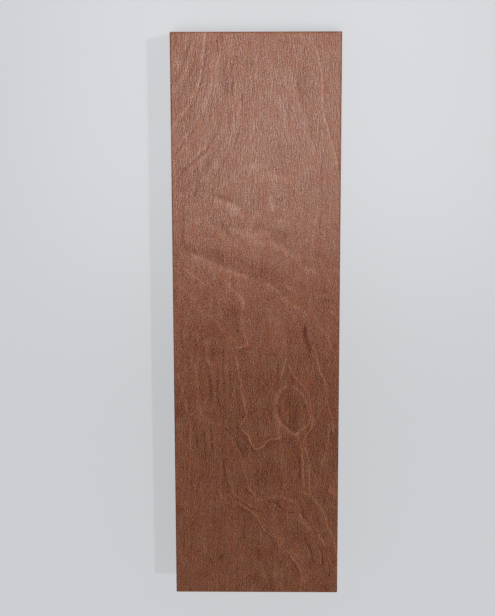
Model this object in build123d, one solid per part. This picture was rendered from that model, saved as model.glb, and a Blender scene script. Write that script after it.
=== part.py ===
"""Wood turning blank: one block of reddish-brown hardwood, sawn to length and planed square.

The blank lies on its back face, with the show face up. The grain and the length run along Y,
the width along X and the thickness along Z. The origin is the middle of the back face.
"""

import os

from build123d import *

# Driving dimensions, in millimetres
LENGTH = 304.8  # along the grain, end to end: a 12 inch blank
WIDTH = 88.9  # across the show face: 3 1/2 inch stock
THICKNESS = 38.1  # back face to show face: 1 1/2 inch stock
LONG_ARRIS_RADIUS = 0.6  # the four edges along the grain, taken off with sandpaper
END_ARRIS_RADIUS = 0.25  # the edges round each cross-cut end, only wiped clean of saw fluff


def planed_stick():
    """The planed length of stock: its rectangular section, with the long arrises eased, along Y."""
    with BuildPart() as stick:
        with BuildSketch(Plane.XZ):
            RectangleRounded(WIDTH, THICKNESS, LONG_ARRIS_RADIUS, align=(Align.CENTER, Align.MIN))
        extrude(amount=LENGTH / 2, both=True)
    return stick.part


def ease_cut_ends(stick):
    """The stick with the sharp edges of its two cross-cut end faces broken."""
    end_faces = stick.faces().filter_by(Plane.XZ)
    return fillet(end_faces.edges(), END_ARRIS_RADIUS)


def main():
    turning_blank = ease_cut_ends(planed_stick())
    turning_blank.label = "turning_blank"
    os.makedirs("parts", exist_ok=True)
    export_step(turning_blank, "parts/turning_blank.step")


main()
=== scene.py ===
import math

import bmesh
import bpy
import numpy as np
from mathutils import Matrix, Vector


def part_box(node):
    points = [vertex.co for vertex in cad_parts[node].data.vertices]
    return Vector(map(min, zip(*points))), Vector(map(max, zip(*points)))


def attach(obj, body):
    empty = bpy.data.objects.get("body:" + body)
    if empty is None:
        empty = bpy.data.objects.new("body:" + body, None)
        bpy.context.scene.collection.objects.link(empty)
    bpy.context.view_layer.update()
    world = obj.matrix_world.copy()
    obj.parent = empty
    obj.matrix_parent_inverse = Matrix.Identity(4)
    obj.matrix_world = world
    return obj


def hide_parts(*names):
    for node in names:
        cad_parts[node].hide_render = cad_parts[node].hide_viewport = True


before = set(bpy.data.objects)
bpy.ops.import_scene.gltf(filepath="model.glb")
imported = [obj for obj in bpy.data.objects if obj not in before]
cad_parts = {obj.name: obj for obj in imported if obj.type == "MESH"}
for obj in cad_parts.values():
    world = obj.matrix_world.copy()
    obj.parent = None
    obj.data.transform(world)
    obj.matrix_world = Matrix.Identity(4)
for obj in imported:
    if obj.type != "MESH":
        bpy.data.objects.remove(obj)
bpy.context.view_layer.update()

# The turning blank
# One block of red-brown hardwood of the meranti and mahogany kind, flat-sawn from a plank, planed on its
# four long faces and sanded. Its ends are cross-cut and keep the saw's marks, and its long edges are eased.
low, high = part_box("turning_blank")
width, length, thickness = high - low
MM = 1000
width_mm, length_mm, thickness_mm = width * MM, length * MM, thickness * MM
LONG_ARRIS = 0.0006
LONG_ARRIS_STEPS = 3
END_ARRIS = 0.00025
END_ARRIS_STEPS = 2
ROUND_PROFILE = 0.5

bpy.ops.object.select_all(action="DESELECT")
bpy.ops.mesh.primitive_cube_add(size=1, location=(low + high) / 2, scale=high - low)
blank = bpy.context.object
blank.name = "turning_blank_timber"
bpy.ops.object.transform_apply(location=True, rotation=True, scale=True)
bpy.ops.object.mode_set(mode="EDIT")
bpy.ops.mesh.select_mode(type="EDGE")


def select_edges(wanted):
    """Selects, of the blank's edges, those whose two ends pass the test."""
    bpy.ops.mesh.select_all(action="DESELECT")
    mesh = bmesh.from_edit_mesh(blank.data)
    for edge in mesh.edges:
        edge.select_set(wanted(edge.verts[0].co, edge.verts[1].co))
    bmesh.update_edit_mesh(blank.data)


# The four long arrises are rounded first, then the rims of the two cut ends.
select_edges(lambda a, b: abs(a.y - b.y) > length / 2)
bpy.ops.mesh.bevel(offset=LONG_ARRIS, segments=LONG_ARRIS_STEPS, profile=ROUND_PROFILE, affect="EDGES")
select_edges(lambda a, b: abs(a.y - b.y) < END_ARRIS)
bpy.ops.mesh.bevel(offset=END_ARRIS, segments=END_ARRIS_STEPS, profile=ROUND_PROFILE, affect="EDGES")

# Every face gets a grid of cells one to three millimetres long, to carry the growth layers.
CELL_SIZE = (0.00126, 0.00264, 0.0021)
for axis, span in enumerate((width, length, thickness)):
    rows = round(span / CELL_SIZE[axis])
    first_cuts = round(math.sqrt(rows)) - 1
    second_cuts = round(rows / (first_cuts + 1)) - 1
    select_edges(lambda a, b: abs(a[axis] - b[axis]) > span / 2)
    bpy.ops.mesh.subdivide(number_cuts=first_cuts)
    shortest = span / (first_cuts + 1) / 2
    select_edges(lambda a, b: abs(a[axis] - b[axis]) > shortest)
    bpy.ops.mesh.subdivide(number_cuts=second_cuts)

# The show face gets cells a third of that size, for the figure, and the ends half, for the saw marks.
SHOW_FACE_CUTS = 2
END_CUTS = 1
SQUARE_ON = 0.99
bpy.ops.mesh.select_mode(type="FACE")
for cuts, wanted in (
    (SHOW_FACE_CUTS, lambda normal: normal.z > SQUARE_ON),
    (END_CUTS, lambda normal: abs(normal.y) > SQUARE_ON),
):
    bpy.ops.mesh.select_all(action="DESELECT")
    mesh = bmesh.from_edit_mesh(blank.data)
    for cell in mesh.faces:
        cell.select_set(wanted(cell.normal))
    bmesh.update_edit_mesh(blank.data)
    bpy.ops.mesh.subdivide(number_cuts=cuts)
bpy.ops.object.mode_set(mode="OBJECT")

# Each mesh point's place on the wood, in mm: from the left long edge, from the far end, and below the show
# face. The show face's own looks fade out over the first millimetre of the sides.
SHOW_SKIN_MM = 1
END_ON = 0.9
places = np.empty(len(blank.data.vertices) * 3, np.float32)
blank.data.vertices.foreach_get("co", places)
places = places.reshape(-1, 3).astype(float)
normals = np.empty(len(blank.data.vertices) * 3, np.float32)
blank.data.vertices.foreach_get("normal", normals)
normals = normals.reshape(-1, 3)
across = (places[:, 0] - low.x) * MM
along = (high.y - places[:, 1]) * MM
depth = (high.z - places[:, 2]) * MM
on_show_face = np.clip(1 - depth / SHOW_SKIN_MM, 0, 1)
on_end = np.abs(normals[:, 1]) > END_ON

# Growth layers where the show face cuts them: each row is one layer's number and the line of its edge, as
# points in mm from the left long edge and from the far end. The layers dome up under the middle.
LAYER_EDGES = [
    (-8, [(5, 0), (3, 7), (0, 13)]),
    (-6.5, [(10, -3), (7, 10), (4, 19), (0, 25)]),
    (-5, [(18, -3), (16.5, 12), (13.5, 27), (8, 39), (0, 50)]),
    (-3, [(23, -3), (21.5, 22), (17, 37), (8, 52), (0, 61)]),
    (0, [(29, -3), (29, 33), (25, 50), (16, 63), (7, 72), (0, 80)]),
    (1, [(34, -3), (33, 20), (33, 40), (30, 57), (22, 68), (11, 79), (0, 88)]),
    (2, [(42, -3), (42, 18), (43, 40), (41, 55), (34, 69), (22, 82), (8, 90), (0, 95)]),
    (2.3, [(48, -6), (49, 30), (52, 62)]),
    (2, [(53, -3), (55, 14), (58, 30), (63, 53), (64, 66)]),
    (1, [(60, -3), (65, 28), (70, 46), (75, 63), (79, 82)]),
    (0, [(75, -3), (78.5, 22), (80, 42), (84, 58), (88, 74)]),
    (-1, [(83, -3), (88, 22)]),
    (3, [(0, 100), (14, 96), (23, 89), (34, 95), (46, 92), (58, 84), (70, 92), (88, 104)]),
    (4, [(0, 109), (16, 106), (28, 108), (40, 107), (50, 110), (61, 115), (75, 122), (88, 132)]),
    (5, [(88, 250), (81, 228), (83, 200), (79, 178), (75, 167), (68, 146), (56, 136), (38, 127.5), (12, 116),
         (9, 122), (20, 160), (24, 185), (27, 205), (35, 226), (41, 244), (50, 250), (69, 252), (80, 274),
         (86, 304)]),
    (6, [(39, 140), (39, 165), (35.5, 182), (36, 207), (44, 223), (57, 217), (66, 215.5), (69, 236),
         (76, 254)]),
    (6, [(82, 256), (74, 236), (74.5, 209), (65, 182), (59, 155), (43, 137)]),
    (6.3, [(48, 152), (46, 180), (45, 205)]),
    (4, [(0, 254), (29, 252), (42, 257.5), (52, 270), (62, 281), (71, 304)]),
    (4.3, [(2, 180), (6, 205), (8, 230)]),
    (3.4, [(20, 285), (4, 300), (45, 300)]),
]
NEXT_TO_NOUGHT = 1e-9
edge_points = np.array([point for number, line in LAYER_EDGES for point in line], float)
edge_numbers = np.array([number for number, line in LAYER_EDGES for point in line], float)


def bending(squared):
    """The bend of a thin plate at a squared distance from where it is pushed."""
    return squared * np.log(squared + NEXT_TO_NOUGHT)


# A thin plate is sprung over the layer edges, so that the layers between them run on smoothly.
PLATE_SLACK = 2
FLAT_TERMS = 3
count = len(edge_points)
plate = np.zeros((count + FLAT_TERMS, count + FLAT_TERMS))
edge_gaps = ((edge_points[:, None] - edge_points) ** 2).sum(2)
plate[:count, :count] = bending(edge_gaps) + PLATE_SLACK * np.eye(count)
plate[:count, count:] = np.hstack([np.ones((count, 1)), edge_points])
plate[count:, :count] = plate[:count, count:].T
pushes = np.linalg.solve(plate, np.append(edge_numbers, np.zeros(FLAT_TERMS)))
squared_gaps = (across[:, None] - edge_points[:, 0]) ** 2 + (along[:, None] - edge_points[:, 1]) ** 2
front_layer = bending(squared_gaps) @ pushes[:count] + pushes[count]
front_layer += pushes[count + 1] * across + pushes[count + 2] * along

# On the back face the same layers make plain arches, one inside the other, along the length.
LAYER_THICKNESS_MM = 2.6
ARCH_MIDDLE_MM = 46
ARCH_STEP_MM = 60
ARCH_RISE = 4
ARCH_START = 2
back_layer = along / ARCH_STEP_MM - ARCH_START - ARCH_RISE * ((across - ARCH_MIDDLE_MM) / ARCH_MIDDLE_MM) ** 2
inwards = depth / thickness_mm
layer_number = front_layer * (1 - inwards) + back_layer * inwards + depth / LAYER_THICKNESS_MM

# Smooth random ripples, each from a grid of random heights that is a few bumps larger than the face.
SPARE_BUMPS = 3


def eased(share):
    """A share from nought to one, with a gentle start and end."""
    return share ** 2 * (3 - 2 * share)


def ripple(amount, size_across, size_along, seed):
    """A smooth random ripple of an amount over the blank's points, with bumps of a size in mm."""
    columns = int(width_mm / size_across) + SPARE_BUMPS
    rows = int(length_mm / size_along) + SPARE_BUMPS
    heights = np.random.default_rng(seed).uniform(-1, 1, (columns, rows))
    bumps_across = across / size_across
    bumps_along = along / size_along
    column = np.floor(bumps_across).astype(int)
    row = np.floor(bumps_along).astype(int)
    right = eased(bumps_across - column)
    down = eased(bumps_along - row)
    left_side = heights[column, row] * (1 - down) + heights[column, row + 1] * down
    right_side = heights[column + 1, row] * (1 - down) + heights[column + 1, row + 1] * down
    return amount * (left_side * (1 - right) + right_side * right)


# The lines of the figure on the show face: how much lighter the line is, its half width in mm, how much
# darker the wood is on its right hand (or on its left, where minus), and its points as above.
GRAIN_LINES = [
    (0.20, 0.48, 0.0, [(18.3, -1), (18, 3), (17.5, 9), (16.5, 15), (16, 21), (14.4, 27), (13, 31)]),
    (0.11, 0.48, 0.0, [(13, 31), (11.2, 34), (8.5, 39), (5, 43), (2.5, 46.5), (0, 51)]),
    (-0.10, 0.58, 0.0, [(18.8, 9), (17.8, 16), (16.5, 22), (15, 27.5), (13, 33), (9.6, 39)]),
    (0.12, 0.90, 0.0, [(22.4, 12), (22, 18.8), (21.7, 25), (20.6, 30.5), (18.4, 35.5), (16.6, 41)]),
    (-0.07, 0.48, 0.0, [(20.2, 13), (19.8, 20), (19, 27), (17.2, 33)]),
    (0.09, 1.20, 0.0, [(24.5, 12), (24.2, 18), (23.8, 27)]),
    (-0.09, 1.40, 0.0, [(28.5, 15), (28.7, 24), (28.6, 31)]),
    (-0.20, 0.42, 0.0, [(32.1, 26), (32.2, 33)]),
    (-0.14, 0.42, 0.0, [(29.2, 27.5), (29.2, 31.5)]),
    (-0.20, 0.42, 0.0, [(37.2, 32), (37.4, 37.4)]),
    (0.10, 0.40, 0.0, [(35.9, 33.6), (36.1, 38.6)]),
    (-0.12, 0.38, 0.0, [(33, 13.5), (33, 17)]),
    (-0.12, 0.38, 0.0, [(35.2, 13.5), (35.1, 17)]),
    (-0.14, 0.38, 0.0, [(26.8, 0.5), (26.8, 4)]),
    (-0.10, 0.38, 0.0, [(24.4, 4), (24.4, 9)]),
    (-0.10, 0.46, 0.0, [(31, 39), (30.9, 44), (30.6, 49.5)]),
    (-0.10, 0.46, 0.0, [(34.2, 40), (34.2, 48)]),
    (-0.09, 0.56, 0.0, [(35.8, 50), (34.6, 54), (32.6, 59)]),
    (0.12, 0.42, 0.0, [(32.4, 39), (32.8, 44), (33, 50.5)]),
    (0.11, 0.42, 0.0, [(35.4, 41), (35.8, 50)]),
    (-0.12, 0.58, 0.0, [(9.6, 7), (8.4, 12), (7, 16), (5.2, 20.5), (3, 24.4), (0, 27.6)]),
    (0.07, 0.58, 0.0, [(11.4, 6), (10, 12), (8.6, 17), (6.8, 21.6), (4.6, 26), (1, 31)]),
    (-0.09, 0.58, 0.0, [(12.8, 12), (12.2, 17), (10, 22), (8, 25.6), (6.4, 31), (3, 35)]),
    (0.08, 0.64, 0.0, [(8.8, 0.5), (8.6, 5), (7.9, 9.5)]),
    (-0.07, 0.58, 0.0, [(13, 36), (10, 41), (6, 46), (2, 51)]),
    (0.07, 0.64, 0.0, [(14, 44), (10, 51), (5, 57), (0, 61)]),
    (-0.08, 0.64, 0.0, [(17, 42), (13, 49), (8, 56), (2, 63)]),
    (-0.13, 0.70, 0.0, [(26.6, 43), (25.5, 48), (23.8, 52), (21.6, 56), (19, 59.5)]),
    (-0.17, 0.58, 0.0, [(20, 58.4), (18.4, 60.6), (16.8, 62.4), (14.6, 64.4)]),
    (-0.09, 0.58, 0.0, [(14.6, 64.4), (12.4, 66.2), (10, 68)]),
    (0.10, 0.50, 0.0, [(18, 58.4), (15.6, 61.2), (12.8, 64.2), (10.6, 66.4)]),
    (-0.11, 0.58, 0.0, [(10, 68), (6, 73), (3.6, 78.5), (1, 81.4)]),
    (0.08, 0.72, 0.0, [(21.5, 58.5), (18.5, 62.5), (15.5, 66), (12.2, 69.3), (9.6, 71.6)]),
    (-0.13, 0.64, 0.0, [(27.5, 55), (25.4, 59.5), (22, 64), (19.5, 67.4), (15.8, 72.4), (14.2, 77),
                        (12.6, 83)]),
    (-0.14, 0.58, 0.0, [(21, 66.6), (19.4, 68.8), (17.8, 70.8)]),
    (-0.12, 0.50, 0.0, [(12.8, 82.4), (12.4, 86)]),
    (0.08, 0.64, 0.0, [(28.5, 58), (25.5, 64), (21, 70.5), (17.5, 76)]),
    (-0.09, 0.56, 0.0, [(34, 57), (30.5, 63), (26, 70), (21, 78)]),
    (0.07, 0.60, 0.0, [(42.3, 36), (42.6, 41), (42.9, 45)]),
    (0.14, 0.60, 0.05, [(42.8, 44), (43.2, 49.6)]),
    (0.11, 0.70, 0.05, [(43, 49.4), (41.6, 53.8), (37.6, 61), (35.2, 66)]),
    (0.08, 0.70, 0.0, [(35.2, 66), (32.6, 71), (33, 78)]),
    (-0.11, 0.40, 0.0, [(8.1, 70.5), (6.9, 73.6)]),
    (0.10, 0.60, 0.0, [(4.8, 71), (4.5, 77.6)]),
    (-0.08, 0.50, 0.0, [(6, 91), (6.2, 99.6)]),
    (0.10, 0.72, 0.0, [(53, 31), (54, 33.5), (56, 36), (58.5, 40), (60, 48), (62, 57)]),
    (0.11, 0.90, -0.08, [(62.4, 19.5), (62.9, 22.5), (65, 30.8), (66.3, 35.8), (68.8, 40), (70.4, 46.7),
                         (71.7, 50)]),
    (0.13, 0.60, -0.05, [(73.6, 55), (74.2, 57.5), (75.8, 64.2), (77, 70)]),
    (0.08, 0.56, 0.0, [(72, 2.5), (75.8, 10)]),
    (0.18, 0.48, -0.08, [(75.8, 10), (77.5, 16.7), (78.8, 24.2), (79.2, 30), (79, 36.7), (80, 43.3)]),
    (0.22, 0.46, -0.12, [(80, 43.3), (81.7, 49.2), (84.2, 57.5), (85.8, 64.2), (86.7, 68.3)]),
    (-0.14, 0.72, 0.0, [(86.6, 54), (88, 62)]),
    (0.08, 0.48, 0.0, [(63.8, 49), (63.8, 56)]),
    (0.08, 0.56, 0.0, [(61, 61), (61, 68)]),
    (0.07, 0.58, 0.0, [(83.6, 74), (83.2, 86), (83, 98)]),
    (-0.07, 0.60, 0.0, [(79, 67), (79, 80), (78.6, 96), (78.2, 107)]),
    (-0.15, 0.58, 0.0, [(64.4, 82), (64.2, 85)]),
    (-0.08, 0.58, 0.0, [(64.2, 85), (64, 90.5)]),
    (0.09, 0.90, 0.0, [(47, 74.6), (52, 73.6), (57, 74), (61, 76.4), (63, 80), (66, 82)]),
    (-0.12, 1.30, 0.0, [(21, 84), (26, 84.6)]),
    (-0.17, 1.40, 0.0, [(26, 84.8), (30, 86.2), (34, 89.4)]),
    (0.18, 1.30, 0.0, [(22.5, 87.6), (26, 88.4), (30, 89.4), (34, 91.4), (36, 94.4)]),
    (0.11, 0.60, 0.0, [(59.6, 89.6), (59.2, 95)]),
    (0.16, 0.90, 0.0, [(51.8, 85.5), (52.4, 89), (53.2, 92.4)]),
    (-0.11, 0.90, 0.0, [(44, 101.6), (50, 101.4), (54, 103)]),
    (-0.19, 1.40, 0.0, [(56.6, 104.2), (59.6, 105.8)]),
    (-0.14, 0.90, 0.0, [(58.8, 106.8), (57.4, 109.4)]),
    (-0.10, 0.58, 0.0, [(60, 105.8), (63.4, 105.2), (65.4, 103.6)]),
    (0.09, 1.20, 0.0, [(41, 108.7), (46, 109.4), (52, 110)]),
    (0.18, 1.30, -0.04, [(51.6, 109.6), (56.4, 111.7), (61.4, 115)]),
    (0.13, 0.90, -0.04, [(61.4, 115), (65, 117), (68, 119.5)]),
    (0.11, 1.10, 0.0, [(25.6, 105.6), (31, 109.3), (37.5, 111.8)]),
    (0.13, 1.30, 0.0, [(32.5, 103), (38.8, 105.6), (46, 106.2), (50, 104.4)]),
    (0.10, 1.20, 0.0, [(12, 97.5), (17, 99), (24, 103), (30, 107.5)]),
    (-0.10, 1.00, 0.0, [(21, 97), (27, 100.5), (30, 104.5)]),
    (0.09, 0.60, 0.0, [(1.2, 123.3), (3.8, 125.8)]),
    (0.10, 0.60, 0.0, [(6.7, 124), (11.5, 127.6), (16.7, 131.7)]),
    (0.09, 0.50, 0.0, [(24.2, 126.7), (31.7, 134.2), (37.5, 140.8), (38.3, 145)]),
    (0.07, 0.90, 0.0, [(2, 131), (8, 136), (13, 142), (17, 149)]),
    (0.08, 1.00, 0.0, [(10, 143), (15, 147), (22, 151), (26, 156)]),
    (0.08, 0.90, 0.0, [(67, 122), (71, 124)]),
    (0.16, 1.00, 0.0, [(71, 124), (74.6, 125.2)]),
    (0.12, 1.00, -0.1, [(11.9, 116.2), (18.8, 119.3), (25, 122.5)]),
    (0.21, 0.90, -0.08, [(25, 122.5), (31, 125.4), (34, 126.4), (38.8, 127.6)]),
    (0.17, 0.80, -0.05, [(50, 131.7), (52.5, 133.4), (55.4, 136)]),
    (0.07, 0.70, -0.03, [(55, 135), (58.3, 140)]),
    (0.13, 0.70, -0.04, [(58.3, 140), (63.3, 142.5), (65.5, 144)]),
    (0.16, 0.80, 0.0, [(65.5, 144.2), (68.3, 145.8), (70.8, 148.3)]),
    (0.11, 0.50, 0.0, [(84, 146.7), (88.3, 150)]),
    (-0.10, 0.50, 0.0, [(5.8, 101.7), (5.4, 109), (3.8, 111.7)]),
    (0.10, 0.90, 0.0, [(60, 132.5), (65, 136)]),
    (0.12, 0.80, 0.0, [(84, 124), (89, 125.8)]),
    (-0.16, 1.00, 0.0, [(81, 141), (83, 141.2)]),
    (-0.18, 0.50, 0.0, [(70.3, 154), (70.6, 158.5)]),
    (-0.34, 1.00, 0.0, [(70.6, 157), (70.9, 161), (72, 164.4)]),
    (-0.24, 1.00, 0.0, [(72, 164.2), (73.2, 168)]),
    (-0.10, 1.00, 0.0, [(72, 168), (73.2, 171), (74.2, 174.5)]),
    (0.19, 0.34, 0.0, [(74.6, 165.8), (76.7, 170), (77.5, 175), (78.8, 180), (80.4, 183.3),
                       (81.7, 185.8)]),
    (0.14, 0.34, 0.0, [(81.7, 185.8), (82.5, 190.8), (82.9, 196.7), (84.2, 201.7), (85.8, 206.5),
                       (86, 213.5)]),
    (0.11, 0.32, 0.0, [(83.8, 209), (83.6, 214), (82.9, 220.8), (81.7, 226.7), (80.4, 230)]),
    (0.12, 0.34, 0.0, [(77.5, 155), (80, 156.7), (82.9, 159.2), (84.2, 164.2), (85.8, 169.2),
                       (86.7, 172.5)]),
    (0.16, 0.34, 0.0, [(60.4, 172.5), (59.2, 176.7), (57.9, 181.7), (57.5, 183.3)]),
    (-0.10, 0.47, 0.0, [(55.6, 176), (56, 180), (56.4, 186)]),
    (-0.06, 0.34, 0.0, [(53.5, 170), (55, 171.5), (56, 174)]),
    (0.16, 0.34, 0.0, [(62, 176), (63.8, 181), (66.3, 183.4), (69.2, 186.7), (71.7, 190), (72.9, 193.3),
                       (73.8, 200), (74.6, 204.2), (75, 207.5), (74.2, 210.8), (72.5, 213.3),
                       (70.4, 216.7), (69.6, 219)]),
    (0.18, 0.34, 0.0, [(64.2, 187.5), (66.7, 190), (69.2, 191.7), (70.8, 194.2), (71.7, 197.5),
                       (72.5, 201.7), (73.5, 205), (73.3, 207.5), (71.7, 210), (69.2, 211.7),
                       (66.3, 213.8)]),
    (-0.14, 0.34, 0.0, [(69.6, 195.2), (70.4, 199.4)]),
    (0.20, 0.62, 0.0, [(60, 187.5), (57.4, 189.2), (55.6, 192.5), (54.2, 196), (54, 200), (54.6, 203.8),
                       (55.6, 206.9), (57.5, 209.2), (60.8, 212), (64.2, 214.2), (66.3, 214.6)]),
    (0.10, 0.32, 0.0, [(57.4, 190), (56.2, 193), (55.4, 197), (55.3, 202), (56.3, 206), (58.5, 208.8),
                       (61.5, 211.2)]),
    (-0.11, 0.34, 0.0, [(56.2, 198.5), (56.6, 201.5), (57.6, 205)]),
    (-0.10, 0.34, 0.0, [(58.6, 207.6), (61.7, 210), (65.6, 211.8)]),
    (0.08, 0.32, 0.0, [(58.8, 199), (59.6, 203), (61, 206.5)]),
    (0.17, 0.34, 0.0, [(66.3, 214.6), (67.9, 218.3), (69.2, 222.5), (69.2, 227), (69.4, 232),
                       (69.6, 236), (70.2, 244)]),
    (0.12, 0.32, 0.0, [(69.6, 219), (70.8, 222), (72.4, 226), (73.3, 231.7), (72.9, 237.5), (73.2, 244),
                       (74.2, 247.5)]),
    (-0.11, 0.37, 0.0, [(67.7, 227.5), (67.6, 233), (68, 239.5)]),
    (0.15, 0.37, 0.0, [(69.6, 246.7), (71.3, 248), (73.8, 248.8), (75.8, 250.8), (77.9, 253.8),
                       (80, 256.7), (81.7, 259.2), (82.5, 262.5), (83.3, 266.7), (85, 269.2),
                       (86.3, 272.5), (87, 276.7), (88.3, 282.5)]),
    (0.11, 0.34, 0.0, [(82.9, 250.8), (85, 253.8), (88, 256.3)]),
    (0.10, 0.34, 0.0, [(84, 245.8), (87.8, 249)]),
    (-0.14, 0.32, 0.0, [(67.5, 253.3), (69.2, 255.4), (70, 258.3), (70, 260.8), (71.7, 263.3),
                        (74.2, 265.8), (75.8, 268.3), (77.9, 270.4)]),
    (0.14, 0.34, 0.0, [(62.5, 250.8), (65.8, 252.9), (68.3, 254.2)]),
    (0.14, 0.34, 0.0, [(66.3, 261.7), (68.3, 263.3), (71.7, 265.8), (74.2, 268.3)]),
    (0.16, 0.32, 0.0, [(67.9, 259.2), (70.8, 263), (75, 265.8), (77.5, 269.2), (79.2, 272.5),
                       (80.8, 275), (81.7, 277.5)]),
    (-0.10, 0.67, 0.0, [(75.6, 253.5), (77, 258), (77.6, 264)]),
    (-0.11, 0.32, 0.0, [(70.8, 271.7), (72, 276.7), (73.8, 280), (74.6, 283.3), (75.8, 287.5)]),
    (0.08, 0.34, 0.0, [(70.2, 276), (72, 280), (74, 284)]),
    (-0.11, 0.32, 0.0, [(79.2, 279), (80.4, 284.2), (80.8, 288.3)]),
    (0.10, 0.32, 0.0, [(79, 281), (79.6, 288)]),
    (-0.17, 0.34, 0.0, [(83.6, 287), (84.4, 291), (84.4, 295.5)]),
    (0.14, 0.37, 0.0, [(62.9, 282.5), (65, 285.8), (67.5, 289.2), (68.8, 292.5), (70, 298.3)]),
    (-0.11, 0.32, 0.0, [(62.3, 283.3), (64.4, 286.7), (66.8, 291), (67.4, 296)]),
    (0.10, 0.40, 0.0, [(59.5, 281), (62, 280.6), (64, 280.4)]),
    (-0.10, 0.32, 0.0, [(63.8, 270.4), (66.7, 272.5), (68.3, 276.7)]),
    (-0.13, 0.37, 0.0, [(50.8, 252), (55, 252.5), (56.7, 254.2), (59.2, 256.7), (61.7, 258.8),
                        (65, 258.3)]),
    (0.14, 0.34, 0.0, [(53, 253.3), (55.4, 255), (57.6, 257)]),
    (0.11, 0.44, 0.0, [(44, 251.6), (48, 250.8), (52, 250), (55.4, 249.2), (59.2, 249.6), (62.9, 251.3),
                       (66.7, 253.3)]),
    (-0.09, 0.44, 0.0, [(26.3, 228), (26.8, 234), (27.4, 239), (29, 244)]),
    (0.10, 0.32, 0.0, [(28, 233), (29.2, 239), (30.4, 243)]),
    (-0.07, 0.32, 0.0, [(25.8, 222.5), (26.7, 230)]),
    (0.12, 0.32, 0.0, [(35.8, 228), (38.3, 235), (39.2, 240), (40, 244), (41.7, 246.7), (44, 249)]),
    (-0.10, 0.32, 0.0, [(39.4, 245.6), (41.5, 248.5)]),
    (-0.11, 0.34, 0.0, [(30.8, 248.3), (33.3, 251.3), (36.7, 252.5), (40, 255.4), (44.2, 257),
                        (46.7, 258.3)]),
    (0.10, 0.34, 0.0, [(31.7, 247.5), (35, 250.4), (39.2, 253.3), (42.5, 255.8)]),
    (0.12, 0.34, 0.0, [(33.3, 252.7), (37.5, 255), (41.7, 258.3), (44.2, 260.4), (45.8, 264.2),
                       (48.6, 268.6)]),
    (-0.08, 0.34, 0.0, [(27.5, 253.8), (30.8, 256.3), (33.3, 257)]),
    (-0.08, 0.34, 0.0, [(35, 255.8), (39.2, 258.3), (41.7, 260)]),
    (0.12, 0.32, 0.0, [(23.3, 245.8), (24.6, 248.3), (25.8, 250)]),
    (-0.06, 0.32, 0.0, [(22.4, 246.4), (23.6, 249)]),
    (-0.10, 0.32, 0.0, [(44.2, 263), (45.8, 265.8), (48, 269.2), (50.8, 272)]),
    (-0.10, 0.32, 0.0, [(33.8, 273), (35.2, 274.6), (36.7, 276.7)]),
    (-0.07, 0.34, 0.0, [(15.9, 283.5), (16.6, 286.7)]),
    (-0.10, 0.34, 0.0, [(18.8, 285.6), (20.4, 288.3)]),
    (-0.10, 0.32, 0.0, [(45.4, 279.6), (45.6, 286)]),
    (0.08, 0.32, 0.0, [(46.7, 286.7), (48.3, 295), (50.8, 300)]),
    (-0.07, 0.32, 0.0, [(22, 294.6), (22.4, 297.6)]),
    (0.06, 0.47, 0.0, [(56.6, 277), (57, 282), (57.2, 286)]),
    (-0.06, 0.34, 0.0, [(47.6, 284.6), (48.6, 290)]),
    (0.12, 0.50, 0.0, [(2.4, 181.6), (4, 186.7), (5.4, 193.3), (6.4, 200), (8, 205), (8.6, 212)]),
    (0.09, 0.46, 0.0, [(8.7, 212), (8.6, 219), (8.4, 226.7), (7.7, 233.3), (7.4, 239)]),
    (0.10, 0.50, 0.0, [(11.6, 176), (12.4, 184), (12.8, 190), (13.4, 198), (13.8, 203)]),
    (0.11, 0.90, 0.05, [(8.6, 203.4), (13, 205.4), (17, 207), (21, 208.8), (26, 209.6)]),
    (0.06, 0.32, 0.0, [(8.6, 163), (9.4, 170), (10.4, 178), (11.2, 186)]),
    (0.08, 0.32, 0.0, [(12.6, 157), (13.2, 164)]),
    (-0.13, 0.32, 0.0, [(16.5, 166.2), (16.7, 171.4)]),
    (0.12, 0.32, 0.0, [(17.5, 166.4), (17.4, 171.7), (18.7, 175), (20.2, 176)]),
    (-0.11, 0.32, 0.0, [(23.6, 166.6), (24.2, 170.6)]),
    (-0.16, 0.32, 0.0, [(26.8, 166.6), (26.6, 171.4)]),
    (-0.08, 0.52, 0.0, [(26.8, 171.4), (26.8, 184), (27, 197)]),
    (-0.06, 0.50, 0.0, [(30.4, 180), (30.6, 188), (30.2, 195)]),
    (-0.06, 0.50, 0.0, [(23.6, 178), (23.8, 188), (24, 198)]),
    (-0.08, 0.54, 0.0, [(17.6, 175.6), (18.8, 181), (19.6, 185), (19.6, 197)]),
    (0.06, 0.34, 0.0, [(21.4, 180), (22, 187), (22, 196)]),
    (0.06, 0.32, 0.0, [(28.2, 176), (29.6, 182), (30, 190)]),
    (0.16, 0.40, 0.0, [(33.3, 166.8), (36, 166.2), (39.8, 165.2)]),
    (-0.11, 0.40, 0.0, [(35.2, 168), (37.6, 168), (40, 167.2)]),
    (0.12, 0.80, 0.0, [(37, 139), (37, 146), (36.8, 150), (37.6, 156), (37.9, 160)]),
    (0.11, 0.50, 0.0, [(37.9, 160), (39.2, 162.5), (39.8, 165.2)]),
    (-0.11, 0.40, 0.0, [(34.6, 154), (34.6, 158)]),
    (0.15, 0.54, 0.0, [(33.3, 171.3), (34.3, 173.3), (34.6, 177.5), (35.6, 181.7), (36.6, 186.7),
                       (35.8, 189.2), (37.4, 195), (38.3, 200), (39.2, 203.3), (39, 205.2)]),
    (0.18, 0.46, 0.08, [(39, 205.2), (36.4, 206.8), (36, 210), (37, 212.5), (39.6, 215), (40.8, 218),
                        (42.5, 220.8), (43.8, 222.5), (46.7, 222.5), (48.3, 220.8), (50.8, 217.5),
                        (54.2, 217), (57.5, 216.7)]),
    (-0.12, 0.46, 0.0, [(27.5, 210.8), (30, 213.8), (33, 217), (35.4, 222), (37.2, 226.4)]),
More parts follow.
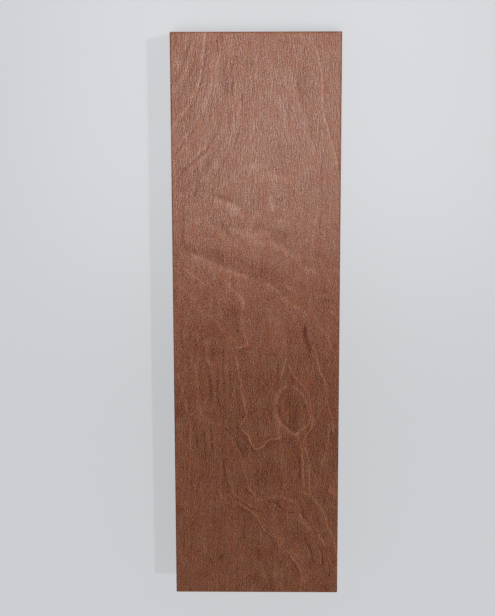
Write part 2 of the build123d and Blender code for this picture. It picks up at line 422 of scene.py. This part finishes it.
    (0.10, 0.32, 0.0, [(26.8, 211), (29.4, 215)]),
    (0.14, 0.32, 0.0, [(29, 206), (28.2, 208.6), (28.2, 211)]),
    (-0.08, 0.46, 0.0, [(20.2, 212), (20.6, 220), (21, 229)]),
    (-0.07, 0.50, 0.0, [(16, 213), (16.4, 222), (16.8, 231)]),
    (-0.08, 0.34, 0.0, [(26.8, 197), (26.4, 206)]),
    (-0.08, 0.34, 0.0, [(25.4, 214), (26, 222), (26.4, 230)]),
    (0.06, 0.40, 0.0, [(22.2, 211), (22.1, 221)]),
    (0.06, 0.36, 0.0, [(18.4, 212), (18.8, 224)]),
    (0.06, 0.36, 0.0, [(3.6, 208), (4, 219), (3.8, 228)]),
    (-0.07, 0.34, 0.0, [(12.2, 214), (12.4, 226)]),
    (0.08, 0.40, 0.0, [(22, 221), (21.9, 227.5)]),
    (0.06, 0.34, 0.0, [(57.6, 219.6), (58.4, 226), (58.4, 232)]),
]

# The lines sway about their points, and the fibres feather them, most of all in the far half. Each sway is an
# amount in mm, the size of its bumps across and along the face in mm, and a seed.
FEATHERING = [(110, 1), (150, 0.4)]
SWAY_ACROSS = (0.3, 2, 6, 1)
FINE_SWAY_ACROSS = (0.28, 1.4, 2.2, 9)
SWAY_ALONG = (0.3, 6, 14, 3)
FEATHER_ALONG = (0.5, 1.2, 9, 2)
FINE_FEATHER_ALONG = (0.8, 0.8, 4, 10)
feather = np.interp(along, *zip(*FEATHERING))
walked_across = across + ripple(*SWAY_ACROSS) + ripple(*FINE_SWAY_ACROSS)
walked_along = along + ripple(*SWAY_ALONG) + feather * (ripple(*FEATHER_ALONG) + ripple(*FINE_FEATHER_ALONG))

# A line thinner than the mesh's cells is carried as the gap to it, in half widths, and its strength. The gap
# has a sign, so that it passes through nought on the line itself, also between two mesh points.
BEND_SMOOTHING = 2
CORNER_CUT = 0.25
LINE_REACH_MM = 7
THIN_MM = 0.5
THIN_WIDENING = 1.4
BROAD_WIDENING = 1.15
THIN_FADE_MM = (0.6, 1.0)
FAR_OFF = 9
pale = np.zeros(len(places))
dark = np.zeros(len(places))
thin_sunk = np.zeros(len(places))
thin_lines = {}
for name in ("pale_line", "dark_line"):
    thin_lines[name] = np.tile((FAR_OFF, 0.0, FAR_OFF), (len(places), 1))
for lighter, half_width, darker_side, points in GRAIN_LINES:
    line = np.array(points, float)
    for smoothing in range(BEND_SMOOTHING):
        early = line[:-1] * (1 - CORNER_CUT) + line[1:] * CORNER_CUT
        late = line[:-1] * CORNER_CUT + line[1:] * (1 - CORNER_CUT)
        line = np.vstack([line[:1], np.stack([early, late], axis=1).reshape(-1, 2), line[-1:]])
    lowest, highest = line.min(0) - LINE_REACH_MM, line.max(0) + LINE_REACH_MM
    near = (across > lowest[0]) & (across < highest[0]) & (depth < SHOW_SKIN_MM)
    near &= (along > lowest[1]) & (along < highest[1])
    near_across, near_along = walked_across[near], walked_along[near]
    nearest = np.full(len(near_across), float(LINE_REACH_MM))
    past_end = np.zeros(len(near_across))
    for index, (start, end) in enumerate(zip(line[:-1], line[1:])):
        run = end - start
        run_length = np.hypot(*run)
        from_start = near_across - start[0], near_along - start[1]
        passed = (from_start[0] * run[0] + from_start[1] * run[1]) / (run @ run)
        on_run = np.clip(passed, 0, 1)
        gap = np.hypot(from_start[0] - on_run * run[0], from_start[1] - on_run * run[1])
        sideways = (run[0] * from_start[1] - run[1] * from_start[0]) / run_length
        beyond = ((passed < 0) & (index == 0)) | ((passed > 1) & (index == len(line) - 2))
        closer = gap < np.hypot(nearest, past_end)
        nearest[closer] = np.where(beyond, sideways, np.where(sideways > 0, gap, -gap))[closer]
        past_end[closer] = np.where(beyond, np.abs(passed - on_run) * run_length, 0)[closer]
    half_width *= THIN_WIDENING if half_width <= THIN_MM else BROAD_WIDENING
    gaps = np.hypot(nearest, past_end) / half_width
    stroke = lighter * np.exp(-gaps ** 2)
    off_side = np.maximum(nearest * np.sign(darker_side), 0) / half_width
    shade = -abs(darker_side) * off_side * np.exp(1 - off_side)
    dark[near] = np.minimum(dark[near], shade)
    if half_width > THIN_MM * THIN_WIDENING:
        pale[near] = np.maximum(pale[near], stroke)
        dark[near] = np.minimum(dark[near], stroke)
        continue
    thin_sunk[near] += stroke
    fade = np.interp(np.abs(nearest), THIN_FADE_MM, (1, 0))
    strength = lighter * fade * np.exp(-(past_end / half_width) ** 2)
    held = thin_lines["pale_line" if lighter > 0 else "dark_line"]
    better = gaps < held[near, 2]
    signed_lines = np.stack([nearest / half_width, strength, gaps], axis=1)
    held[np.flatnonzero(near)[better]] = signed_lines[better]

# The lines come and go along their way. A broad line's strength is set in the figure itself.
COMING_AND_GOING = (0.25, 3, 6, 4)
FINE_COMING_AND_GOING = 0.3
FINE_BUMPS = (0.9, 3.5, 8)
BROAD_LINE_GAIN = 1.25
unevenness = 1 + ripple(*COMING_AND_GOING) + ripple(FINE_COMING_AND_GOING * feather, *FINE_BUMPS)
figure_and_sheen = BROAD_LINE_GAIN * (pale + dark) * unevenness
for held in thin_lines.values():
    held[:, 1] *= unevenness * on_show_face

# Painted sheen and shade: fixed pale and dark patches where the fibres tilt and catch or lose the light. Each
# has its middle in mm from the far left corner, half length and half width in mm, tilt below the crosswise
# direction in degrees, and how much lighter.
PAINTED_SHEEN_PATCHES = [
    (6, 65, 45, 15, 90, -0.07),
    (11.2, 32.8, 1.3, 0.6, 110, 0.13),
    (18.6, 34.4, 1.7, 0.6, 105, 0.10),
    (15.8, 38.2, 1.8, 0.7, 115, 0.09),
    (14.8, 42.6, 1.3, 0.7, 100, 0.10),
    (4.9, 43.2, 1.3, 0.7, 120, 0.12),
    (3.6, 46.8, 1.1, 0.7, 120, 0.10),
    (2.2, 16.5, 4.0, 2.4, 100, 0.09),
    (2.4, 24.0, 3.0, 1.5, 130, -0.10),
    (43.2, 69.6, 2.4, 2.2, 0, 0.26),
    (7.8, 55, 1.9, 1.7, 0, 0.22),
    (8, 61, 2.0, 1.8, 0, 0.08),
    (23.8, 69.4, 1.6, 1.3, 0, 0.27),
    (68.5, 27, 7.0, 2.2, 85, -0.13),
    (58.6, 66, 6.0, 2.4, 70, -0.14),
    (57, 75.5, 9.0, 2.4, 8, 0.08),
    (54, 81, 2.6, 1.9, 60, 0.17),
    (57, 86.6, 2.4, 1.3, 0, -0.14),
    (52.8, 91.4, 1.9, 1.8, 0, 0.14),
    (45.2, 95.8, 1.7, 1.4, 0, 0.25),
    (57, 98.5, 1.9, 2.2, 0, 0.19),
    (32.6, 92, 3.2, 2.6, 30, 0.12),
    (37, 106, 14, 2.6, 12, 0.04),
    (57, 112.5, 12, 3.0, 24, 0.05),
    (25, 123, 16, 3.0, 23, 0.05),
    (60, 139, 13, 3.0, 39, 0.06),
    (24.5, 116, 7.5, 3.2, 25, -0.14),
    (48.5, 125, 11, 3.0, 20, -0.08),
    (41, 121.5, 7.0, 2.6, 28, -0.07),
    (1.9, 116.2, 1.8, 1.8, 0, -0.20),
    (5.6, 110, 1.6, 1.4, 0, -0.10),
    (35.5, 135.5, 6.5, 4.5, 60, 0.07),
    (56, 156, 14, 5.0, 80, 0.07),
    (31.8, 147.2, 3.6, 2.6, 0, -0.10),
    (75, 148, 2.6, 1.8, 0, 0.09),
    (22, 157, 6.0, 3.4, 75, -0.08),
    (18.8, 163.8, 2.2, 1.7, 0, 0.23),
    (21, 174.8, 2.0, 1.1, 0, 0.11),
    (64, 200.5, 8.5, 5.0, 85, -0.06),
    (46, 239, 5.0, 4.0, 40, -0.06),
    (60, 165, 6.0, 3.0, 45, 0.06),
    (21.4, 169.6, 2.2, 2.0, 0, -0.14),
    (35.5, 221, 5.0, 2.2, 60, -0.04),
    (24.2, 237.5, 3.5, 1.0, 85, 0.08),
    (20, 253.5, 8.0, 2.0, 3, 0.05),
    (5.5, 253.5, 3.5, 1.4, 0, 0.06),
    (3, 257, 2.5, 1.0, 0, -0.08),
    (9, 244.5, 3.5, 1.0, 90, -0.08),
    (56.5, 274.2, 2.6, 1.4, 25, 0.14),
    (52.6, 273.8, 1.4, 0.8, 45, -0.18),
    (67.2, 256.7, 1.7, 1.4, 30, 0.10),
    (72.7, 267.8, 1.9, 1.0, 30, 0.14),
    (66.7, 284, 3.2, 1.6, 60, 0.09),
    (70.8, 295, 4.0, 1.7, 75, 0.09),
    (73.7, 289.5, 1.3, 1.5, 0, -0.10),
    (43.5, 297.5, 3.3, 2.5, 0, -0.08),
    (85, 230.2, 1.7, 2.2, 0, -0.07),
    (56.3, 212, 4.5, 1.2, 88, 0.16),
    (54.4, 195.5, 2.5, 1.1, 110, 0.08),
    (42.8, 224.2, 1.3, 0.7, 40, -0.22),
    (30.4, 222.5, 1.2, 0.9, 90, 0.10),
    (32.5, 232, 1.4, 0.8, 90, 0.10),
    (80.8, 275, 2.0, 0.8, 60, 0.08),
    (66.6, 129.2, 2.2, 1.2, 85, 0.10),
    (68.8, 132.6, 2.6, 1.0, 80, -0.10),
    (80.6, 136, 2.4, 1.8, 0, -0.09),
    (78.6, 116, 3.2, 1.5, 0, -0.13),
    (85, 246, 3.6, 2.0, 55, 0.08),
    (81, 272, 2.4, 1.0, 70, -0.10),
    (24.6, 283.7, 1.3, 0.8, 90, -0.24),
    (53.8, 295, 2.6, 2.2, 0, 0.08),
]
for middle_x, middle_y, half_length, half_width, tilt, amount in PAINTED_SHEEN_PATCHES:
    turn = math.radians(tilt)
    lengthwise = (walked_across - middle_x) * math.cos(turn) + (walked_along - middle_y) * math.sin(turn)
    sidewise = (walked_along - middle_y) * math.cos(turn) - (walked_across - middle_x) * math.sin(turn)
    figure_and_sheen += amount * np.exp(-(lengthwise / half_length) ** 2 - (sidewise / half_width) ** 2)
figure_and_sheen *= on_show_face

# The arrises are a little darker.
ARRIS_DARKER = -0.06
ARRIS_BELOW = 0.98
figure_and_sheen += ARRIS_DARKER * (np.abs(normals).max(1) < ARRIS_BELOW)

# A circular saw cut the ends, and its teeth left arcs. They are spaced wider than a fine saw's, to show.
SAW_CENTRE_MM = (-60, 89)
SAW_PITCH_MM = 2.6
# The arcs are also tinted lighter and darker in turn: partly burnish, partly painted shade and highlight of
# their ridges.
SAW_BURNISH_AND_SHADE = 0.05
SAW_SWAY = (0.3, 9, 9, 7)
arc = np.hypot(across - SAW_CENTRE_MM[0], depth - SAW_CENTRE_MM[1]) / SAW_PITCH_MM + ripple(*SAW_SWAY)
saw_wave = np.sin(2 * math.pi * arc)
figure_and_sheen += SAW_BURNISH_AND_SHADE * saw_wave * on_end * (1 - on_show_face)


def up_to(edge, fade, values):
    """One well before an edge, falling to nought at the edge over the length of the fade."""
    return np.clip((edge - values) / fade, 0, 1)


# Towards the far end the fibres lean with the layers, on both sides of an upright middle.
MOST_LEAN = 0.18
LEAN_SOFTENING = 0.02
LEAN_END_MM = 105
LEAN_FADE_MM = 25
UPRIGHT_MIDDLE_MM = 47
UPRIGHT_HALF_MM = 25
pull = np.log(squared_gaps + NEXT_TO_NOUGHT) + 1
pull_across = (2 * (across[:, None] - edge_points[:, 0]) * pull) @ pushes[:count]
pull_along = (2 * (along[:, None] - edge_points[:, 1]) * pull) @ pushes[:count]
pull_across += pushes[count + 1]
pull_along += pushes[count + 2]
lean = -pull_along * pull_across / (pull_across ** 2 + LEAN_SOFTENING ** 2)
lean = np.clip(lean, -MOST_LEAN, MOST_LEAN) * up_to(LEAN_END_MM, LEAN_FADE_MM, along) * on_show_face
lean *= np.clip(np.abs(across - UPRIGHT_MIDDLE_MM) / UPRIGHT_HALF_MM, 0, 1)

# How far in mm a pore runs along the face from its middle, at so many mm from the far end: long there, where
# the face cuts the pores lengthwise, and short further down, where they run out of it. Longer pores are
# darker, and those at the very rim of the far end are paler.
PORE_REACH = [(0, 0.84), (75, 0.8), (110, 0.35), (165, 0.3), (195, 0.48), (245, 0.42), (270, 0.28),
              (305, 0.28)]
PORE_SWAY = (12, 15, 30, 5)
LEAST_PORE_CONTRAST = 0.1
PORE_CONTRAST_GAIN = 0.7
PORE_CONTRAST_POWER = 1.5
RIM_PORE_CONTRAST = [(0, 0.75), (12, 1.04)]
SIDE_PORE_REACH = 1.6
SIDE_PORE_CONTRAST = 0.7
END_PORE_CONTRAST_MORE = 0.5
show_reach = np.interp(along + ripple(*PORE_SWAY), *zip(*PORE_REACH))
show_contrast = LEAST_PORE_CONTRAST + PORE_CONTRAST_GAIN * show_reach ** PORE_CONTRAST_POWER
show_contrast = show_contrast * np.interp(along, *zip(*RIM_PORE_CONTRAST))
side_contrast = SIDE_PORE_CONTRAST + END_PORE_CONTRAST_MORE * on_end
pore_reach = show_reach * on_show_face + SIDE_PORE_REACH * (1 - on_show_face)
pore_contrast = show_contrast * on_show_face + side_contrast * (1 - on_show_face)
fibre = np.stack([lean * pore_reach, -pore_reach, np.zeros(len(places))], axis=1)

# How strong the speckle is, how far the light grain turns from the painted grey sheen to its warm colour, and
# how strongly the growth layers show. They show most on the sides and ends, and on the show face in the fan
# of layers at the far left.
SPECKLE_CONTRAST = [(0, 0.85), (10, 1.1), (80, 1.1), (110, 0.97), (180, 0.84), (305, 0.8)]
SIDE_SPECKLE_CONTRAST = 0.4
SHEEN_TO_WARMTH = [(60, 0), (110, 0.3), (155, 0.5), (200, 1)]
SIDE_SHEEN_TO_WARMTH = 0.5
FAN_WIDTH_MM = 50
FAN_WIDTH_FADE_MM = 12
FAN_LENGTH_MM = 95
FAN_LENGTH_FADE_MM = 15
SHOW_LAYER_CONTRAST = 0.25
FAN_LAYER_CONTRAST_MORE = 0.3
SIDE_LAYER_CONTRAST = 1.5
END_LAYER_CONTRAST_MORE = 0.7
show_speckle = np.interp(along, *zip(*SPECKLE_CONTRAST))
speckle_contrast = SIDE_SPECKLE_CONTRAST + (show_speckle - SIDE_SPECKLE_CONTRAST) * on_show_face
sheen_to_warmth = np.interp(along, *zip(*SHEEN_TO_WARMTH)) * on_show_face + SIDE_SHEEN_TO_WARMTH * (1 - on_show_face)
fan = up_to(FAN_WIDTH_MM, FAN_WIDTH_FADE_MM, across) * up_to(FAN_LENGTH_MM, FAN_LENGTH_FADE_MM, along)
show_layers = SHOW_LAYER_CONTRAST + FAN_LAYER_CONTRAST_MORE * fan
side_layers = SIDE_LAYER_CONTRAST + END_LAYER_CONTRAST_MORE * on_end
layer_contrast = on_show_face * show_layers + (1 - on_show_face) * side_layers
for name, values in (
    ("layer", layer_number),
    ("figure_and_sheen", figure_and_sheen),
    ("layer_contrast", layer_contrast),
    ("pore_contrast", pore_contrast),
    ("sheen_to_warmth", sheen_to_warmth),
    ("speckle_contrast", speckle_contrast),
):
    attribute = blank.data.attributes.new(name, "FLOAT", "POINT")
    attribute.data.foreach_set("value", values.astype(np.float32))
for name, vectors in (("fibre", fibre), *thin_lines.items()):
    attribute = blank.data.attributes.new(name, "FLOAT_VECTOR", "POINT")
    attribute.data.foreach_set("vector", vectors.astype(np.float32).ravel())

# The relief, sunk into the flat of the face: dark grain lies a little deeper than pale on the show face, and
# the saw's arcs are cut into the ends. It starts half a margin in from the rim of each.
RELIEF_DEPTH = 0.00006
ARRIS_MARGIN_MM = 1.2
MARGIN_START = 0.5
SHOW_SINK = 0.35
FIGURE_SINK = 0.9
FIBRE_SINK = (0.3, 0.9, 6, 6)
END_SINK = 0.5
SAW_SINK = 0.4


def off_rim(place, span):
    """Nought at a face's rim and one further in, by the width and by a place on the face's other span."""
    from_rim = np.minimum.reduce([across, width_mm - across, place, span - place])
    return np.clip(from_rim / ARRIS_MARGIN_MM - MARGIN_START, 0, 1)


show_sunk = np.clip(SHOW_SINK - FIGURE_SINK * (figure_and_sheen + thin_sunk) + ripple(*FIBRE_SINK), 0, 1)
show_sunk = show_sunk * off_rim(along, length_mm)
end_sunk = (END_SINK + SAW_SINK * saw_wave) * off_rim(depth, thickness_mm)
on_square_end = np.abs(normals[:, 1]) > SQUARE_ON
sunk = np.where(normals[:, 2] > SQUARE_ON, show_sunk, np.where(on_square_end, end_sunk, 0))
relief = blank.vertex_groups.new(name="relief")
for index in np.flatnonzero(sunk):
    relief.add([int(index)], float(sunk[index]), "REPLACE")
bpy.ops.object.modifier_add(type="DISPLACE")
sinking = blank.modifiers[-1]
sinking.vertex_group = "relief"
sinking.mid_level = 0
sinking.strength = -RELIEF_DEPTH
bpy.ops.object.modifier_apply(modifier=sinking.name)
SMOOTH_BELOW_DEGREES = 35
bpy.ops.object.shade_smooth_by_angle(angle=math.radians(SMOOTH_BELOW_DEGREES))

# Planed and sanded meranti-type hardwood: open pores drawn out along the grain as dark dashes, thin pale
# lines at the edge of each growth layer, and a matt sheen.
timber = bpy.data.materials.new("meranti_planed_and_sanded")
timber.use_nodes = True
timber.node_tree.nodes.clear()


def add(material, kind, inputs, **settings):
    """Adds a node to a material or world, with its settings, and fills or links its inputs."""
    node = material.node_tree.nodes.new("ShaderNode" + kind)
    for name, value in settings.items():
        setattr(node, name, value)
    for key, value in inputs.items():
        if isinstance(value, bpy.types.NodeSocket):
            material.node_tree.links.new(value, node.inputs[key])
        else:
            node.inputs[key].default_value = value
    return node


def linear(code):
    """An sRGB hex colour as the linear colour that a shader takes."""
    parts = [int(code[i:i + 2], 16) / 255 for i in (1, 3, 5)]
    return [p / 12.92 if p <= 0.04045 else ((p + 0.055) / 1.055) ** 2.4 for p in parts] + [1]


# Pattern sizes in mm across the grain, along it and through the thickness, and the octaves of each. The pores
# and fibres are drawn about twice as wide as the real ones, so that they show in the render.
GRAIN_PATTERNS = {
    "wander": ((18, 50, 18), 2),
    "teeth": ((1.3, 12, 1.3), 2),
    "speckle": ((0.41, 0.42, 0.41), 0),
    "ribbons": ((1.1, 12, 1.1), 1),
    "streaks": ((2.4, 34, 2.4), 2),
    "redness": ((3.8, 9, 3.8), 2),
    "sallowness": ((3.2, 7, 3.2), 2),
    "clouds": ((7, 12, 7), 3),
    "mottle": ((1.5, 2.6, 1.5), 1),
}
PATTERN_WARP = 0.4
MIDDLE = 0.5
surface = add(timber, "TexCoord", {})
millimetres = add(timber, "VectorMath", {0: surface.outputs["Object"], "Scale": MM}, operation="SCALE")
pattern = {}
for name, (size, octaves) in GRAIN_PATTERNS.items():
    per_mm = [1 / side for side in size]
    cells = add(timber, "VectorMath", {0: millimetres.outputs[0], 1: per_mm}, operation="MULTIPLY")
    noise = add(timber, "TexNoise", {
        "Vector": cells.outputs[0],
        "Scale": 1,
        "Detail": octaves,
        "Distortion": PATTERN_WARP,
    })
    centred = add(timber, "Math", {0: noise.outputs[0], 1: MIDDLE}, operation="SUBTRACT")
    pattern[name] = centred.outputs[0]
carried = {}
for name in ("layer", "figure_and_sheen", "layer_contrast", "pore_contrast", "speckle_contrast", "sheen_to_warmth"):
    carried[name] = add(timber, "Attribute", {}, attribute_name=name).outputs["Fac"]
fibre_way = add(timber, "Attribute", {}, attribute_name="fibre")

# How light the wood is through one growth layer: a pale line at its start, darker towards its end. A new ramp
# has two stops already.
READY_STOPS = 2
LAYER_WANDER = {"wander": 0.5, "teeth": 0.25}
LAYER_TONES = [(0.0, 0.62), (0.07, 0.68), (0.16, 0.54), (0.5, 0.5), (0.82, 0.44), (0.97, 0.36), (1.0, 0.62)]
layer = carried["layer"]
for name, amount in LAYER_WANDER.items():
    layer = add(timber, "Math", {0: pattern[name], 1: amount, 2: layer}, operation="MULTIPLY_ADD").outputs[0]
through = add(timber, "Math", {0: layer}, operation="FRACT")
layer_tone = add(timber, "ValToRGB", {"Fac": through.outputs[0]})
for index, (place, shade) in enumerate(LAYER_TONES):
    stops = layer_tone.color_ramp.elements
    stop = stops[index] if index < READY_STOPS else stops.new(1)
    stop.position = place
    stop.color = (shade, shade, shade, 1)
layer_swing = add(timber, "Math", {0: layer_tone.outputs["Color"], 1: MIDDLE}, operation="SUBTRACT")
layers = add(timber, "Math", {0: layer_swing.outputs[0], 1: carried["layer_contrast"]}, operation="MULTIPLY")

# A pore is a grain of noise smeared along its fibre, by adding the noise at three places along it. The same
# noise, moved half a millimetre to each side and taken away, gives each pore its paler rims.
PORE_SIZE = (0.42, 1.0, 0.42)
PORE_STEPS = (-1, 0, 1)
RIM_MM = 0.53
RIM_SHARE = 0.4
pores_per_mm = [1 / side for side in PORE_SIZE]
pore_swing = RIM_SHARE - MIDDLE
for sideways, weight in ((0, 1), (-RIM_MM, -RIM_SHARE), (RIM_MM, -RIM_SHARE)):
    moved = add(timber, "VectorMath", {0: millimetres.outputs[0], 1: (sideways, 0, 0)}, operation="ADD")
    for step in PORE_STEPS:
        smeared = add(timber, "VectorMath", {
            0: fibre_way.outputs["Vector"],
            1: [step] * 3,
            2: moved.outputs[0],
        }, operation="MULTIPLY_ADD")
        cells = add(timber, "VectorMath", {0: smeared.outputs[0], 1: pores_per_mm}, operation="MULTIPLY")
        noise = add(timber, "TexNoise", {"Vector": cells.outputs[0], "Scale": 1, "Detail": 0})
        pore_swing = add(timber, "Math", {
            0: noise.outputs[0],
            1: weight / len(PORE_STEPS),
            2: pore_swing,
        }, operation="MULTIPLY_ADD").outputs[0]
pores = add(timber, "Math", {0: pore_swing, 1: carried["pore_contrast"]}, operation="MULTIPLY")

# The speckle and the mottle are strongest at the far end, as the mesh carries it.
speckle = add(timber, "Math", {0: pattern["speckle"], 1: carried["speckle_contrast"]}, operation="MULTIPLY")
mottle = add(timber, "Math", {0: pattern["mottle"], 1: carried["speckle_contrast"]}, operation="MULTIPLY")

# A thin line fades on each side of where its gap is nought, and the grain roughens its edges.
LINE_ROUGHNESS = 1.2
strokes = {}
for name in thin_lines:
    line_held = add(timber, "Attribute", {}, attribute_name=name)
    line_parts = add(timber, "SeparateXYZ", {0: line_held.outputs["Vector"]})
    rough_gap = add(timber, "Math", {
        0: pattern["speckle"],
        1: LINE_ROUGHNESS,
        2: line_parts.outputs["X"],
    }, operation="MULTIPLY_ADD")
    turned = add(timber, "Math", {0: rough_gap.outputs[0], 1: -1}, operation="MULTIPLY")
    squared = add(timber, "Math", {0: rough_gap.outputs[0], 1: turned.outputs[0]}, operation="MULTIPLY")
    fading = add(timber, "Math", {0: squared.outputs[0]}, operation="EXPONENT")
    strength = add(timber, "Math", {0: fading.outputs[0], 1: line_parts.outputs["Y"]}, operation="MULTIPLY")
    strokes[name] = strength.outputs[0]

# The tone is the sum of all of these, each with its share, about a middle of one half. The figure carries the
# painted sheen patches as well as the grain.
TONE_SHARES = [
    (layers.outputs[0], 0.6),
    (carried["figure_and_sheen"], 1.05),
    (strokes["pale_line"], 1.75),
    (strokes["dark_line"], 1.9),
    (pattern["ribbons"], 0.2),
    (pattern["streaks"], 0.18),
    (pores.outputs[0], 2.75),
    (speckle.outputs[0], 1.85),
    (pattern["clouds"], 0.25),
    (mottle.outputs[0], 0.24),
]
tone = MIDDLE
for part, share in TONE_SHARES:
    tone = add(timber, "Math", {0: part, 1: share, 2: tone}, operation="MULTIPLY_ADD").outputs[0]

# The cut ends drink the light between their open pores, so they are darker and duller than the faces.
END_GRAIN_DARKER = -0.13
END_GRAIN_STARTS = 0.6
facing = add(timber, "SeparateXYZ", {0: surface.outputs["Normal"]})
end_on = add(timber, "Math", {0: facing.outputs["Y"]}, operation="ABSOLUTE")
end_grain = add(timber, "MapRange", {
    "Value": end_on.outputs[0],
    "From Min": END_GRAIN_STARTS,
    "From Max": END_ON,
})
darkened = add(timber, "Math", {
    0: end_grain.outputs[0],
    1: END_GRAIN_DARKER,
    2: tone,
}, operation="MULTIPLY_ADD")

# At the far end the lighter tones are greyer: a painted sheen laid into the colour. At the near end they are
# more orange.
PAINTED_SHEEN_TONES = [(0.0, "#550F03"), (0.25, "#672C0E"), (0.5, "#794A33"), (0.75, "#8B6958"), (1.0, "#968379")]
WARM_TONES = [(0.0, "#491B0C"), (0.25, "#5F321E"), (0.5, "#774935"), (0.75, "#8F604C"), (1.0, "#A47461")]
toned = []
for tones in (PAINTED_SHEEN_TONES, WARM_TONES):
    ramp = add(timber, "ValToRGB", {"Fac": darkened.outputs[0]})
    for index, (place, code) in enumerate(tones):
        stops = ramp.color_ramp.elements
        stop = stops[index] if index < READY_STOPS else stops.new(1)
        stop.position = place
        stop.color = linear(code)
    toned.append(ramp.outputs["Color"])
sheen_or_warm_colour = add(timber, "Mix", {"Factor": carried["sheen_to_warmth"], 6: toned[0], 7: toned[1]}, data_type="RGBA")

# The hue wanders from patch to patch: each cast is full where its pattern swings that far from its middle.
HUE_CASTS = [
    ("#7A442F", "redness", 0.25),
    ("#7A533E", "redness", -0.25),
    ("#7A4B3A", "sallowness", 0.25),
    ("#7A4B31", "sallowness", -0.25),
]
colour = sheen_or_warm_colour.outputs[2]
for cast, part, full in HUE_CASTS:
    cast_share = add(timber, "MapRange", {"Value": pattern[part], "From Min": 0, "From Max": full})
    colour = add(timber, "Mix", {"Factor": cast_share.outputs[0], 6: colour, 7: linear(cast)},
                 data_type="RGBA", blend_type="COLOR").outputs[2]

PORE_DEPTH = 0.00006
PORE_BUMP = 0.6
SANDED_ROUGHNESS = 0.29
SAWN_ROUGHNESS = 0.7
WOOD_IOR = 1.5
WOOD_SPECULAR = 0.055
bumped = add(timber, "Bump", {"Height": pores.outputs[0], "Distance": PORE_DEPTH, "Strength": PORE_BUMP})
dullness = add(timber, "MapRange", {
    "Value": end_grain.outputs[0],
    "To Min": SANDED_ROUGHNESS,
    "To Max": SAWN_ROUGHNESS,
})
wood = add(timber, "BsdfPrincipled", {
    "Base Color": colour,
    "Roughness": dullness.outputs[0],
    "IOR": WOOD_IOR,
    "Specular IOR Level": WOOD_SPECULAR,
    "Normal": bumped.outputs[0],
})
add(timber, "OutputMaterial", {"Surface": wood.outputs[0]})
blank.data.materials.append(timber)
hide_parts("turning_blank")
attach(blank, "root")

# The floor
# A wide sheet of matt pale grey board, laid flat under the blank. It carries the blank's soft shadow.
FLOOR_SIZE = 8
bpy.ops.object.select_all(action="DESELECT")
bpy.ops.mesh.primitive_plane_add(size=FLOOR_SIZE, location=(0, 0, low.z))
floor = bpy.context.object
floor.name = "floor"
board = bpy.data.materials.new("matt_grey_board")
board.use_nodes = True
board.node_tree.nodes.clear()
BOARD_GREY = linear("#D0D2D5")
BOARD_GLOW = 0.75
rays = add(board, "LightPath", {})
seen = rays.outputs["Is Camera Ray"]
for kind in ("Is Glossy Ray", "Is Transmission Ray"):
    seen = add(board, "Math", {0: seen, 1: rays.outputs[kind]}, operation="MAXIMUM").outputs[0]
glow = add(board, "Math", {0: seen, 1: BOARD_GLOW}, operation="MULTIPLY")
lit = add(board, "BsdfDiffuse", {"Color": BOARD_GREY})
even = add(board, "Emission", {"Color": BOARD_GREY, "Strength": 1})
sheet = add(board, "MixShader", {0: glow.outputs[0], 1: lit.outputs[0], 2: even.outputs[0]})
add(board, "OutputMaterial", {"Surface": sheet.outputs[0]})
floor.data.materials.append(board)

# The lamps and the world
# A soft box above the blank shines down on its far end. A lamp from the right gives the shadow on the left,
# and a pale room fills the rest.
KEY_PLACE = Vector((0.02, 0.09, 0.95))
KEY_AIM = Vector((0.02, 0.155, 0.04))
KEY_SIZE = 0.27
KEY_SPREAD_DEGREES = 12.5
KEY_WATTS = 0.141
bpy.ops.object.light_add(type="AREA", location=KEY_PLACE)
key = bpy.context.object
key.name = "soft_box"
key.data.size = KEY_SIZE
key.data.spread = math.radians(KEY_SPREAD_DEGREES)
key.data.energy = KEY_WATTS
key.rotation_euler = (KEY_AIM - KEY_PLACE).to_track_quat("-Z", "Y").to_euler()

SIDE_TRAVEL = Vector((-0.0155, -0.004, -0.0381))
SIDE_TRAVELS_BACK = 20
SIDE_STRENGTH = 1.3
SIDE_ANGLE_DEGREES = 2
bpy.ops.object.light_add(type="SUN", location=-SIDE_TRAVEL * SIDE_TRAVELS_BACK)
side_lamp = bpy.context.object
side_lamp.name = "side_lamp"
side_lamp.data.energy = SIDE_STRENGTH
side_lamp.data.angle = math.radians(SIDE_ANGLE_DEGREES)
side_lamp.rotation_euler = SIDE_TRAVEL.to_track_quat("-Z", "Y").to_euler()

room = bpy.data.worlds.new("pale_room")
room.use_nodes = True
room.node_tree.nodes.clear()
ROOM_GREY = linear("#D6D7D9")
ROOM_FILL = 0.65
room_rays = add(room, "LightPath", {})
room_seen = room_rays.outputs["Is Camera Ray"]
for kind in ("Is Glossy Ray", "Is Transmission Ray"):
    room_seen = add(room, "Math", {0: room_seen, 1: room_rays.outputs[kind]}, operation="MAXIMUM").outputs[0]
room_strength = add(room, "MapRange", {"Value": room_seen, "To Min": ROOM_FILL, "To Max": 1})
room_light = add(room, "Background", {"Color": ROOM_GREY, "Strength": room_strength.outputs[0]})
add(room, "OutputWorld", {"Surface": room_light.outputs[0]})
bpy.context.scene.world = room

# The camera
# It hangs above the far end of the blank and looks down on the show face, tilted towards the near end.
IMAGE_HEIGHT = 616
FOCAL_PIXELS = 1450
SENSOR = 36
CAMERA_PLACE = (0.0096, 0.1511, 0.7976)
CAMERA_TURN_DEGREES = (-10.697, 1.047, -0.159)
camera_turn = [math.radians(turn) for turn in CAMERA_TURN_DEGREES]
bpy.ops.object.camera_add(location=CAMERA_PLACE, rotation=camera_turn)
camera = bpy.context.object
camera.name = "camera"
camera.data.sensor_width = SENSOR
camera.data.lens = FOCAL_PIXELS / IMAGE_HEIGHT * SENSOR
bpy.context.scene.camera = camera
bpy.context.scene.view_settings.view_transform = "Standard"
